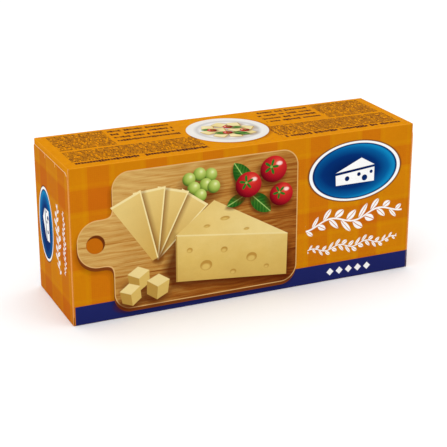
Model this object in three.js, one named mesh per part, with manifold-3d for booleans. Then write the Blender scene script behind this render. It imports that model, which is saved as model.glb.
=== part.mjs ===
// A shut folding carton for a block of processed cheese: one sheet of cardboard, creased into a long
// box and closed at both ends by glued flaps. It can't be seen into, so it is one solid.
//
// Millimetres, +Z up. The origin is the middle of the footprint, on the surface that the carton
// stands on. X runs along the carton, and the front panel faces -Y.

import * as THREE from 'three';
import { mergeVertices } from 'three/addons/utils/BufferGeometryUtils.js';
import Module from 'manifold-3d';

// The carton as it stands
const LENGTH = 191;
const DEPTH = 56;
const HEIGHT = 82;

// The cardboard and its folds
const BOARD = 0.35;
const FOLD_RADIUS = 0.5;
const PANEL_BOW = 0.1; // how far the pack inside pushes out the middle of a long panel
const SEAM_EDGE_RISE = 1.4; // height of the raw edge of the back panel, where the blank is glued to a tube

// The end flaps
const OUTER_FLAP_DROP = 3; // the free edge of the outer flap, below the top panel
const FLAP_SIDE_GAP = 0.4; // from a vertical fold to the side of a flap
const FRONT_CORNER_RADIUS = 4;
const BACK_CORNER_RADIUS = 1.5;
const NICK_WIDTH = 0.7; // two short nicks cut into the free edge of the outer flap
const NICK_DEPTH = 2.2;
const NICK_PLACES = [-8, 8.2];

// Segments of the bow of a panel; a rounded fold has twice as many
const CURVE_SEGMENTS = 4;

// How far a rounded cut starts outside the face that it rounds, and how far a cut runs past its end
const CLEAR = 0.05;
const OVERRUN = 1;

const BOARD_COLOUR = 0xcb7a14;
const BOARD_ROUGHNESS = 0.45;

const foldY = DEPTH / 2 - PANEL_BOW;
const foldTop = HEIGHT - PANEL_BOW;

const wasm = await Module();
wasm.setup();

/** Turns a closed three.js geometry into a manifold solid. */
function toSolid(geometry) {
  const bare = geometry.index ? geometry.toNonIndexed() : geometry.clone();
  bare.deleteAttribute('normal');
  bare.deleteAttribute('uv');
  const merged = mergeVertices(bare, 1e-5);
  return new wasm.Manifold(
    new wasm.Mesh({
      numProp: 3,
      vertProperties: new Float32Array(merged.attributes.position.array),
      triVerts: new Uint32Array(merged.index.array),
    }),
  );
}

/** Turns a manifold solid back into a three.js geometry. */
function toGeometry(solid) {
  const mesh = solid.getMesh();
  const geometry = new THREE.BufferGeometry();
  geometry.setAttribute('position', new THREE.BufferAttribute(new Float32Array(mesh.vertProperties), 3));
  geometry.setIndex(new THREE.BufferAttribute(new Uint32Array(mesh.triVerts), 1));
  geometry.computeVertexNormals();
  return geometry;
}

/** Extrudes an outline by a depth, centred on its own plane. */
function centredExtrusion(outline, depth) {
  const geometry = new THREE.ExtrudeGeometry(outline, {
    depth,
    steps: 1,
    bevelEnabled: false,
    curveSegments: CURVE_SEGMENTS,
  });
  geometry.translate(0, 0, -depth / 2);
  return geometry;
}

/** A solid along X, from an outline drawn in Y and Z. */
function alongX(outline, low, high) {
  const geometry = centredExtrusion(outline, high - low);
  geometry.rotateX(Math.PI / 2);
  geometry.rotateZ(Math.PI / 2);
  geometry.translate((low + high) / 2, 0, 0);
  return toSolid(geometry);
}

/** A solid along Y, from an outline drawn in X and Z. */
function alongY(outline, depth) {
  const geometry = centredExtrusion(outline, depth);
  geometry.rotateX(Math.PI / 2);
  return toSolid(geometry);
}

/** A solid along Z, from an outline drawn in X and Y. */
function alongZ(outline, low, high) {
  const geometry = centredExtrusion(outline, high - low);
  geometry.translate(0, 0, (low + high) / 2);
  return toSolid(geometry);
}

/** The section of the four long panels, with a flat bottom and the glued seam at the back. */
function tubeSection() {
  const y = foldY - FOLD_RADIUS;
  const top = foldTop - FOLD_RADIUS;
  const middle = foldTop / 2;
  const seamY = foldY - BOARD;
  const outline = new THREE.Shape();
  outline.moveTo(-y, 0);
  outline.lineTo(seamY - FOLD_RADIUS, 0);
  outline.absarc(seamY - FOLD_RADIUS, FOLD_RADIUS, FOLD_RADIUS, -Math.PI / 2, 0, false);
  outline.lineTo(seamY, SEAM_EDGE_RISE);
  outline.lineTo(foldY, SEAM_EDGE_RISE);
  outline.quadraticCurveTo(foldY + 2 * PANEL_BOW, middle, foldY, top);
  outline.absarc(y, top, FOLD_RADIUS, 0, Math.PI / 2, false);
  outline.quadraticCurveTo(0, foldTop + 2 * PANEL_BOW, -y, foldTop);
  outline.absarc(-y, top, FOLD_RADIUS, Math.PI / 2, Math.PI, false);
  outline.quadraticCurveTo(-foldY - 2 * PANEL_BOW, middle, -foldY, FOLD_RADIUS);
  outline.absarc(-y, FOLD_RADIUS, FOLD_RADIUS, Math.PI, 1.5 * Math.PI, false);
  outline.closePath();
  return outline;
}

/** The side view of the bottom panel and its end flaps, which are glued over all the others. */
function bottomFoldOutline() {
  const x = LENGTH / 2;
  const low = -CLEAR;
  const outline = new THREE.Shape();
  outline.moveTo(FOLD_RADIUS - x, low);
  outline.lineTo(x - FOLD_RADIUS, low);
  outline.absarc(x - FOLD_RADIUS, low + FOLD_RADIUS, FOLD_RADIUS, -Math.PI / 2, 0, false);
  outline.lineTo(x, HEIGHT + OVERRUN);
  outline.lineTo(-x, HEIGHT + OVERRUN);
  outline.absarc(FOLD_RADIUS - x, low + FOLD_RADIUS, FOLD_RADIUS, Math.PI, 1.5 * Math.PI, false);
  outline.closePath();
  return outline;
}

/** The plan of the dust flaps, two boards further in than the outer flaps that run between their folds. */
function dustFlapOutline() {
  const x = LENGTH / 2 - 2 * BOARD;
  const y = DEPTH / 2 + CLEAR;
  const flapX = LENGTH / 2 + OVERRUN;
  const flapY = foldY - FLAP_SIDE_GAP;
  const outline = new THREE.Shape();
  outline.moveTo(FOLD_RADIUS - x, -y);
  outline.absarc(x - FOLD_RADIUS, FOLD_RADIUS - y, FOLD_RADIUS, -Math.PI / 2, 0, false);
  outline.lineTo(x, -flapY);
  outline.lineTo(flapX, -flapY);
  outline.lineTo(flapX, flapY);
  outline.lineTo(x, flapY);
  outline.absarc(x - FOLD_RADIUS, y - FOLD_RADIUS, FOLD_RADIUS, 0, Math.PI / 2, false);
  outline.absarc(FOLD_RADIUS - x, y - FOLD_RADIUS, FOLD_RADIUS, Math.PI / 2, Math.PI, false);
  outline.lineTo(-x, flapY);
  outline.lineTo(-flapX, flapY);
  outline.lineTo(-flapX, -flapY);
  outline.lineTo(-x, -flapY);
  outline.absarc(FOLD_RADIUS - x, FOLD_RADIUS - y, FOLD_RADIUS, Math.PI, 1.5 * Math.PI, false);
  outline.closePath();
  return outline;
}

/** What the outer flap leaves open above its free edge, with its rounded corners and its nicks. */
function aboveOuterFlapOutline() {
  const side = foldY - FLAP_SIDE_GAP + CLEAR;
  const edge = HEIGHT - OUTER_FLAP_DROP;
  const wide = DEPTH / 2 + OVERRUN;
  const frontY = FRONT_CORNER_RADIUS - side;
  const backY = side - BACK_CORNER_RADIUS;
  const outline = new THREE.Shape();
  outline.moveTo(-wide, edge - FRONT_CORNER_RADIUS);
  outline.absarc(frontY, edge - FRONT_CORNER_RADIUS, FRONT_CORNER_RADIUS, Math.PI, Math.PI / 2, true);
  for (const place of NICK_PLACES) {
    outline.lineTo(place - NICK_WIDTH / 2, edge);
    outline.lineTo(place - NICK_WIDTH / 4, edge - NICK_DEPTH);
    outline.lineTo(place + NICK_WIDTH / 4, edge - NICK_DEPTH);
    outline.lineTo(place + NICK_WIDTH / 2, edge);
  }
  outline.absarc(backY, edge - BACK_CORNER_RADIUS, BACK_CORNER_RADIUS, Math.PI / 2, 0, true);
  outline.lineTo(wide, edge - BACK_CORNER_RADIUS);
  outline.lineTo(wide, HEIGHT + OVERRUN);
  outline.lineTo(-wide, HEIGHT + OVERRUN);
  outline.closePath();
  return outline;
}

/** What the fold between the top panel and its end flap leaves open, at the end of side 1 or -1. */
function aboveTopFoldOutline(side) {
  const x = LENGTH / 2 - BOARD + CLEAR;
  const top = HEIGHT + CLEAR;
  const middle = side > 0 ? 0 : Math.PI;
  const outline = new THREE.Shape();
  outline.moveTo(side * (x + OVERRUN), top - FOLD_RADIUS);
  outline.absarc(side * (x - FOLD_RADIUS), top - FOLD_RADIUS, FOLD_RADIUS, middle, Math.PI / 2, side < 0);
  outline.lineTo(side * (x - FOLD_RADIUS), top + OVERRUN);
  outline.lineTo(side * (x + OVERRUN), top + OVERRUN);
  outline.closePath();
  return outline;
}

/** The whole carton: the tube of long panels, cut back at each end to its flaps, one board apart. */
function cartonSolid() {
  const wide = DEPTH + 2 * OVERRUN;
  let solid = alongX(tubeSection(), -LENGTH / 2 - OVERRUN, LENGTH / 2 + OVERRUN);
  solid = solid.intersect(alongY(bottomFoldOutline(), wide));
  solid = solid.intersect(alongZ(dustFlapOutline(), -OVERRUN, HEIGHT + OVERRUN));
  const innerFlap = LENGTH / 2 - BOARD;
  for (const side of [-1, 1]) {
    const ends = [side * innerFlap, side * (innerFlap + 2 * OVERRUN)];
    solid = solid.subtract(alongX(aboveOuterFlapOutline(), Math.min(...ends), Math.max(...ends)));
    solid = solid.subtract(alongY(aboveTopFoldOutline(side), wide));
  }
  return solid;
}

const carton = new THREE.Mesh(
  toGeometry(cartonSolid()),
  new THREE.MeshStandardMaterial({
    color: BOARD_COLOUR,
    roughness: BOARD_ROUGHNESS,
    metalness: 0,
  }),
);
carton.name = 'carton';

const part = new THREE.Group();
part.add(carton);

export default part;
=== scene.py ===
"""A shut folding carton for a block of processed cheese, standing in a plain pale studio.

The carton is made as its maker makes it. Each panel is cut out of flat board, printed, creased,
folded and given its thickness. Sizes on a sheet are in millimetres, and a finished piece is in
metres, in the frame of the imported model: +X along the carton, the front panel facing -Y, +Z up.
"""

import logging
import math
from collections.abc import Callable, Sequence
from dataclasses import dataclass, field
from enum import Enum
from functools import cached_property

import bmesh
import bpy
from mathutils import Euler, Matrix, Vector, noise


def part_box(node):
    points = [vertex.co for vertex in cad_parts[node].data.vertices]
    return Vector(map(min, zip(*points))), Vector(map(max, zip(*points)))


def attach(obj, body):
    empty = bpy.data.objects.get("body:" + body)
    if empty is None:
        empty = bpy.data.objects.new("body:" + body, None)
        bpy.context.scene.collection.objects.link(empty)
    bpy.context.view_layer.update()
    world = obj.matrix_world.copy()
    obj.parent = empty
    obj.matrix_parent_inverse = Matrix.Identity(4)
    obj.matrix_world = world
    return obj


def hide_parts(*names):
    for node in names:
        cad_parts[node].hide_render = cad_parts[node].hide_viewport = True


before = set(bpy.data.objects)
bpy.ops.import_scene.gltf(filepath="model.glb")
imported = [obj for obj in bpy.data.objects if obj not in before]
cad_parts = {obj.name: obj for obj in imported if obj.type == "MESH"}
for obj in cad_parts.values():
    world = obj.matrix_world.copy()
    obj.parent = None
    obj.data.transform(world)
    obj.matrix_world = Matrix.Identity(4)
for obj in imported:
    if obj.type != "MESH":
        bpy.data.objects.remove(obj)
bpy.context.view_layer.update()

NODE = "carton"
BODY = "root"
PRINT_MAP = "Print"
CREASE_MARK = "crease"
MM = 0.001
RIGHT_ANGLE = math.pi / 2
SHARP_ANGLE = math.radians(40)

Place = tuple[float, float]
Ink = tuple[float, float, float, float]
Colour = bpy.types.NodeSocket | Ink
Stops = Sequence[tuple[float, Ink]]

log = logging.getLogger("carton")


# ---------------------------------------------------------------------------------------------
# Sizes
# ---------------------------------------------------------------------------------------------


@dataclass(frozen=True)
class CartonSizes:
    """The sizes of the folded carton, in millimetres.

    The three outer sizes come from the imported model's box, and the rest repeat its relief.
    """

    length: float
    depth: float
    height: float
    board: float = 0.35
    fold_radius: float = 0.5
    bow: float = 0.1  # how far the block inside pushes out the middle of a long panel
    air: float = 0.01  # between two boards that lie on each other
    overlap: float = 0.6  # how far a sheet runs on, past a fold that it shares with another
    seam_rise: float = 1.4  # from the floor to the raw edge of the back panel
    # The outer end flaps
    flap_drop: float = 3.0  # from the top of the carton to the free edge
    flap_gap: float = 0.2  # from an upright fold to the side of the flap
    flap_lift: float = 0.03  # how far the free edge springs up
    front_corner: float = 4.0
    back_corner: float = 1.5
    nick_place: float = 8.1
    nick_width: float = 0.7
    nick_depth: float = 2.2
    # The hidden flaps
    slit: float = 0.15  # from the side of a dust flap to the folds above and below it
    dust_flap: float = 20.0
    dust_shoulder: float = 2.0
    dust_taper: float = 6.0
    inner_flap: float = 77.0
    glue_flap: float = 12.0
    glue_shoulder: float = 1.0
    glue_taper: float = 9.0
    trim: float = 0.1  # off the sides of a dust flap and of an inner flap

    @property
    def bend(self) -> float:
        """The length of board in a right-angled fold, on its printed side."""
        return self.fold_radius * RIGHT_ANGLE

    @property
    def fold_y(self) -> float:
        """How far the front and back folds stand from the middle."""
        return self.depth / 2 - self.bow

    @property
    def fold_top(self) -> float:
        """The height of the top folds."""
        return self.height - self.bow

    @property
    def half_top(self) -> float:
        """Half the width of the top and bottom sheets, past the folds that others lie over."""
        return self.fold_y - self.fold_radius - self.overlap

    @property
    def half_flap(self) -> float:
        """Half the width of an end flap."""
        return self.fold_y - self.flap_gap

    @property
    def outer_plane(self) -> float:
        """How far the outer end flaps' folds stand from the middle."""
        return self.length / 2 - self.flap_lift

    @property
    def inner_plane(self) -> float:
        """How far the inner end flaps stand from the middle."""
        return self.outer_plane - self.board - self.air

    @property
    def dust_plane(self) -> float:
        """How far the dust flaps stand from the middle."""
        return self.inner_plane - self.board - self.air

    def crease(self, along: "Along", start: float, towards: int) -> "Crease":
        """A fold with the carton's own radius."""
        return Crease(along, start, towards, self.fold_radius)

    def end_creases(self, start: float) -> list["Crease"]:
        """The folds of the flaps that close the two ends."""
        return [self.crease(Along.X, end * start, end) for end in (1, -1)]


def sizes_from_box() -> CartonSizes:
    """Reads the carton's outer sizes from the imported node.

    Returns:
        The carton's sizes.
    """
    low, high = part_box(NODE)
    length, depth, height = (high - low) / MM
    return CartonSizes(length, depth, height)


def placed(name: str, data: bpy.types.ID) -> bpy.types.Object:
    """Makes an object and puts it in the scene.

    Args:
        name: The object's name.
        data: Its mesh, camera or light.

    Returns:
        The object, at the origin.
    """
    thing = bpy.data.objects.new(name, data)
    bpy.context.scene.collection.objects.link(thing)
    return thing


# ---------------------------------------------------------------------------------------------
# Folded board
# ---------------------------------------------------------------------------------------------


class Along(Enum):
    """The direction on a flat sheet that is measured to find a crease."""

    X = 0
    Y = 1


class Side(Enum):
    """A side of the carton: where its print faces, and where its sheet's x direction goes."""

    FRONT = ((0, -1, 0), (1, 0, 0))
    BACK = ((0, 1, 0), (-1, 0, 0))
    TOP = ((0, 0, 1), (1, 0, 0))
    BOTTOM = ((0, 0, -1), (1, 0, 0))
    LEFT = ((-1, 0, 0), (0, -1, 0))
    RIGHT = ((1, 0, 0), (0, 1, 0))

    def stand(self, offset: float) -> Matrix:
        """Stands a flat sheet up on this side, with its print outwards.

        Args:
            offset: How far the printed side stands from the origin, in millimetres.

        Returns:
            The matrix that carries the sheet into the carton's frame.
        """
        normal, right = (Vector(direction) for direction in self.value)
        turn = Matrix((right, normal.cross(right), normal)).transposed().to_4x4()
        return Matrix.Translation(normal * offset) @ turn


@dataclass(frozen=True)
class Crease:
    """A straight right-angled fold: the board past `start` bends away from its printed side."""

    along: Along
    start: float
    towards: int
    radius: float
    steps: int = 8

    def cuts(self) -> list[float]:
        """Where the sheet is scored so that the fold comes out round."""
        bend = self.radius * RIGHT_ANGLE
        return [self.start + self.towards * bend * k / self.steps for k in range(self.steps + 1)]

    def bent(self, point: Vector) -> tuple[Vector, float]:
        """Carries a point of the flat sheet to its place once the sheet is folded here.

        Args:
            point: The point, in millimetres, with the printed side up.

        Returns:
            The folded point, and how deep it lies in the fold, from 0 to 1.
        """
        past = (point[self.along.value] - self.start) * self.towards
        if past <= 0:
            return point, 0.0
        angle = min(past / self.radius, RIGHT_ANGLE)
        beyond = past - angle * self.radius
        reach = self.radius + point.z
        across = reach * math.sin(angle) + beyond * math.cos(angle)
        down = self.radius - reach * math.cos(angle) + beyond * math.sin(angle)
        folded = point.copy()
        folded[self.along.value] = self.start + self.towards * across
        folded.z = -down
        return folded, math.sin(2 * angle) if angle < RIGHT_ANGLE else 0.0


@dataclass(frozen=True)
class Belly:
    """How a panel swells between its folds, pushed from inside, with slight uneven waves."""

    x: Place
    y: Place
    swell: float
    seed: float
    wave: float = 0.04
    wave_length: float = 38.0

    def __call__(self, x: float, y: float) -> float:
        """The height of the panel above its folds' plane.

        Args:
            x: A place on the sheet, across.
            y: The place, up.

        Returns:
            The height, in millimetres.
        """
        across = (2 * x - sum(self.x)) / (self.x[1] - self.x[0])
        up = (2 * y - sum(self.y)) / (self.y[1] - self.y[0])
        if max(abs(across), abs(up)) >= 1:
            return 0.0
        window = (1 - across**4) * (1 - up**2)
        place = Vector((x, y, 0)) / self.wave_length + Vector((0, 0, self.seed))
        return window * (self.swell - self.wave + self.wave * noise.noise(place))


@dataclass(frozen=True)
class SprungEdge:
    """How an outer flap's free edge springs off the flap under it, most at its corners."""

    low: float
    high: float
    half_width: float
    lift: float
    middle_share: float = 0.55

    def __call__(self, x: float, y: float) -> float:
        """The height of the flap above the plane of its fold.

        Args:
            x: A place on the sheet, across.
            y: The place, up.

        Returns:
            The height, in millimetres.
        """
        rise = max(0.0, (y - self.low) / (self.high - self.low))
        corner_share = (1 - self.middle_share) * (x / self.half_width) ** 2
        return self.lift * rise**3 * (self.middle_share + corner_share)


@dataclass(frozen=True)
class Sheet:
    """One panel of the carton, with the flaps that hang on it, cut out of flat board.

    The sheet lies in its own plane, printed side up, until it is folded and put in place.
    """

    name: str
    side: Side
    offset: float  # how far its printed side stands from the origin
    outline: Sequence[Place]
    corner: Place  # the top left corner of its print
    creases: Sequence[Crease]
    board: float
    rounded: dict[Place, float] = field(default_factory=dict)
    belly: Callable[[float, float], float] = lambda x, y: 0.0
    cell: float = 7.0
    corner_steps: int = 5
    fold_margin: float = 0.5
    weld: float = 0.00001

    def cut_out(self) -> bmesh.types.BMesh:
        """Cuts the outline out of flat board and rounds the corners that are named.

        Returns:
            The flat sheet as one face.
        """
        sheet = bmesh.new()
        verts = [sheet.verts.new((x, y, 0.0)) for x, y in self.outline]
        sheet.faces.new(verts)
        for place, radius in self.rounded.items():
            bmesh.ops.bevel(
                sheet,
                geom=[verts[self.outline.index(place)]],
                offset=radius,
                offset_type="OFFSET",
                segments=self.corner_steps,
                profile=0.5,
                affect="VERTICES",
                material=-1,
            )
        return sheet

    def score(self, sheet: bmesh.types.BMesh) -> None:
        """Scores the sheet along its creases, and in cells that let its panels bow.

        Args:
            sheet: The flat sheet.
        """
        for along in Along:
            low = min(place[along.value] for place in self.outline)
            high = max(place[along.value] for place in self.outline)
            folds = [crease.cuts() for crease in self.creases if crease.along is along]
            bends = [(min(cuts) - self.fold_margin, max(cuts) + self.fold_margin) for cuts in folds]
            count = max(2, round((high - low) / self.cell))
            lines = [low + (high - low) * k / count for k in range(1, count)]
            lines = [line for line in lines if not any(a < line < b for a, b in bends)]
            lines += [line for cuts in folds for line in cuts]
            normal = Vector((1, 0, 0)) if along is Along.X else Vector((0, 1, 0))
            for line in sorted(lines):
                bmesh.ops.bisect_plane(
                    sheet,
                    geom=sheet.verts[:] + sheet.edges[:] + sheet.faces[:],
                    dist=self.weld,
                    plane_co=normal * line,
                    plane_no=normal,
                )

    def print_places(self, sheet: bmesh.types.BMesh) -> None:
        """Writes each point's place in the printed artwork, in metres from its top left corner.

        Args:
            sheet: The flat sheet.
        """
        layer = sheet.loops.layers.uv.new(PRINT_MAP)
        left, top = self.corner
        for face in sheet.faces:
            for loop in face.loops:
                point = loop.vert.co
                loop[layer].uv = ((point.x - left) * MM, (top - point.y) * MM)

    def fold(self, sheet: bmesh.types.BMesh) -> None:
        """Bows the panel a little and folds it along its creases, the flaps first.

        Args:
            sheet: The flat sheet, which is folded in place.
        """
        worn = sheet.verts.layers.float.new(CREASE_MARK)
        for vert in sheet.verts:
            point = vert.co.copy()
            point.z += self.belly(point.x, point.y)
            mark = 0.0
            for crease in self.creases:
                point, depth = crease.bent(point)
                mark = max(mark, depth)
            vert.co = point
            vert[worn] = mark

    def thicken(self, sheet: bmesh.types.BMesh) -> None:
        """Gives the sheet the board's thickness; its back and its cut edges stay unprinted.

        Args:
            sheet: The folded sheet, whose faces become the printed side.
        """
        sheet.normal_update()
        printed = set(sheet.faces)
        bmesh.ops.solidify(sheet, geom=sheet.faces[:], thickness=self.board)
        sheet.normal_update()
        for face in sheet.faces:
            face.smooth = True
            face.material_index = 0 if face in printed else 1

    def make(self, *materials: bpy.types.Material) -> bpy.types.Object:
        """Makes the finished piece.

        Args:
            materials: The print, and the bare board of the back and the edges.

        Returns:
            The piece, at the origin, unturned and unscaled.
        """
        sheet = self.cut_out()
        self.score(sheet)
        self.print_places(sheet)
        self.fold(sheet)
        self.thicken(sheet)
        place = Matrix.Scale(MM, 4) @ self.side.stand(self.offset)
        bmesh.ops.transform(sheet, matrix=place, verts=sheet.verts)
        mesh = bpy.data.meshes.new(self.name)
        sheet.to_mesh(mesh)
        sheet.free()
        mesh.set_sharp_from_angle(angle=SHARP_ANGLE)
        for material in materials:
            mesh.materials.append(material)
        return placed(self.name, mesh)


def mirrored(right_side: Sequence[Place]) -> list[Place]:
    """Adds the left half to the right half of an outline, which runs upwards."""
    return [*right_side, *((-x, y) for x, y in reversed(right_side))]


@dataclass(frozen=True)
class Carton:
    """The whole carton: four long panels and the outer flaps of its two ends."""

    sizes: CartonSizes
    prints: dict[Side, bpy.types.Material]
    bare: bpy.types.Material

    def _wall(
        self,
        side: Side,
        name: str,
        edge: Sequence[Place],
        seed: float,
        creases: Sequence[Crease] = (),
    ) -> Sheet:
        """A front or back panel, with a dust flap at each end.

        Args:
            side: Where it stands.
            name: The piece's name.
            edge: The right edge of its outline, up to the start of its dust flap.
            seed: Sets its waves.
            creases: Its creases, apart from those that the front and the back share.

        Returns:
            The flat sheet.
        """
        s = self.sizes
        flap_start = edge[-1][1]
        crease = s.dust_plane - s.fold_radius
        end = s.inner_plane - s.fold_radius
        high = s.fold_top - s.fold_radius
        shoulder = crease + s.bend + s.dust_shoulder
        tip = crease + s.bend + s.dust_flap
        flap_and_top = [
            (shoulder, flap_start + s.trim),
            (tip, flap_start - s.slit + s.dust_taper),
            (tip, high - s.dust_taper),
            (shoulder, high - s.slit - s.trim),
            (crease, high - s.slit),
            (crease, high),
            (end, high),
            (end, high + s.bend + s.overlap),
        ]
        return Sheet(
            name=name,
            side=side,
            offset=s.fold_y,
            outline=mirrored([*edge, *flap_and_top]),
            corner=(-s.length / 2, s.height),
            creases=[*s.end_creases(crease), s.crease(Along.Y, high, 1), *creases],
            board=s.board,
            belly=Belly((-crease, crease), (s.fold_radius, high), s.bow, seed),
        )

    def front_panel(self) -> Sheet:
        """The front panel, from just past its bottom fold to just past its top fold.

        Returns:
            The flat sheet.
        """
        s = self.sizes
        low = s.fold_radius
        foot = s.outer_plane - s.fold_radius
        crease = s.dust_plane - s.fold_radius
        edge = [
            (foot, low - s.bend - s.overlap),
            (foot, low - s.bend),
            (s.dust_plane, low - s.bend),
            (s.dust_plane, low),
            (crease, low),
            (crease, low + s.slit),
        ]
        return self._wall(Side.FRONT, "front_panel", edge, 1.0, [s.crease(Along.Y, low, -1)])

    def back_panel(self) -> Sheet:
        """The back panel, whose raw bottom edge is glued over the flap of the bottom panel.

        Returns:
            The flat sheet.
        """
        edge = [(self.sizes.dust_plane - self.sizes.fold_radius, self.sizes.seam_rise)]
        return self._wall(Side.BACK, "back_panel", edge, 2.0)

    def top_panel(self) -> Sheet:
        """The top panel with the inner end flaps, between the overlaps of front and back.

        Returns:
            The flat sheet.
        """
        s = self.sizes
        crease = s.inner_plane - s.fold_radius
        tip = crease + s.bend + s.inner_flap
        edge = [
            (crease, -s.half_top),
            (crease, -s.half_flap),
            (tip, s.trim - s.half_flap),
            (tip, s.half_flap - s.trim),
            (crease, s.half_flap),
            (crease, s.half_top),
        ]
        return Sheet(
            name="top_panel",
            side=Side.TOP,
            offset=s.fold_top,
            outline=mirrored(edge),
            corner=(-s.length / 2, s.depth / 2),
            creases=s.end_creases(crease),
            board=s.board,
            belly=Belly((-crease, crease), (-s.half_top, s.half_top), s.bow, 3.0),
        )

    def bottom_panel(self) -> Sheet:
        """The bottom panel, flat on the floor, with the glue flap that holds the back panel.

        Returns:
            The flat sheet.
        """
        s = self.sizes
        crease = -(s.fold_y - s.board - s.fold_radius)
        short = s.outer_plane - s.fold_radius - s.overlap
        edge = [
            (s.dust_plane - s.glue_taper, crease - s.bend - s.glue_flap),
            (s.dust_plane, crease - s.bend - s.glue_shoulder),
            (s.dust_plane, crease),
            (short + s.overlap, crease),
            (short + s.overlap, -s.half_top),
            (short, -s.half_top),
            (short, s.half_top),
        ]
        return Sheet(
            name="bottom_panel",
            side=Side.BOTTOM,
            offset=0.0,
            outline=mirrored(edge),
            corner=(-s.length / 2, s.depth / 2),
            creases=[s.crease(Along.Y, crease, -1)],
            board=s.board,
        )

    def outer_flap(self, side: Side, name: str) -> Sheet:
        """The outer flap of one end, from just before its fold to its free edge.

        Args:
            side: The left or the right end.
            name: The piece's name.

        Returns:
            The flat sheet.
        """
        s = self.sizes
        low = s.fold_radius
        fold = low - s.bend
        free = s.height - s.flap_drop
        foot = [(s.half_top, fold - s.overlap), (s.half_top, fold), (s.half_flap, fold)]
        corners = ((s.half_flap, free), (-s.half_flap, free))
        radii = (s.back_corner, s.front_corner)
        nicks = []
        for middle in (s.nick_place, -s.nick_place):
            nicks += [
                (middle + s.nick_width / 2, free),
                (middle + s.nick_width / 4, free - s.nick_depth),
                (middle - s.nick_width / 4, free - s.nick_depth),
                (middle - s.nick_width / 2, free),
            ]
        other_foot = [(-x, y) for x, y in reversed(foot)]
        return Sheet(
            name=name,
            side=side,
            offset=s.outer_plane,
            outline=[*foot, corners[0], *nicks, corners[1], *other_foot],
            corner=(-s.depth / 2, s.height),
            creases=[s.crease(Along.Y, low, -1)],
            board=s.board,
            rounded=dict(zip(corners, radii if side is Side.RIGHT else reversed(radii))),
            belly=SprungEdge(low, free, s.half_flap, s.flap_lift),
        )

    def build(self) -> list[bpy.types.Object]:
        """Makes every panel and flap, and fastens each to the frame.

        Returns:
            The finished pieces.
        """
        sheets = (
            self.front_panel(),
            self.back_panel(),
            self.top_panel(),
            self.bottom_panel(),
            self.outer_flap(Side.LEFT, "left_outer_flap"),
            self.outer_flap(Side.RIGHT, "right_outer_flap"),
        )
        pieces = [sheet.make(self.prints[sheet.side], self.bare) for sheet in sheets]
        for piece in pieces:
            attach(piece, BODY)
            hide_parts(NODE)
        return pieces


# ---------------------------------------------------------------------------------------------
# Shader arithmetic
# ---------------------------------------------------------------------------------------------


def ink(red: float, green: float, blue: float) -> Ink:
    """An ink from its 8-bit sRGB values.

    Args:
        red: Red, 0 to 255.
        green: Green, 0 to 255.
        blue: Blue, 0 to 255.

    Returns:
        The linear colour, with an alpha of 1.
    """

    def linear(value: float) -> float:
        """One channel, from sRGB to linear."""
        share = value / 255
        return share / 12.92 if share <= 0.04045 else ((share + 0.055) / 1.055) ** 2.4

    return (linear(red), linear(green), linear(blue), 1.0)


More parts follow.
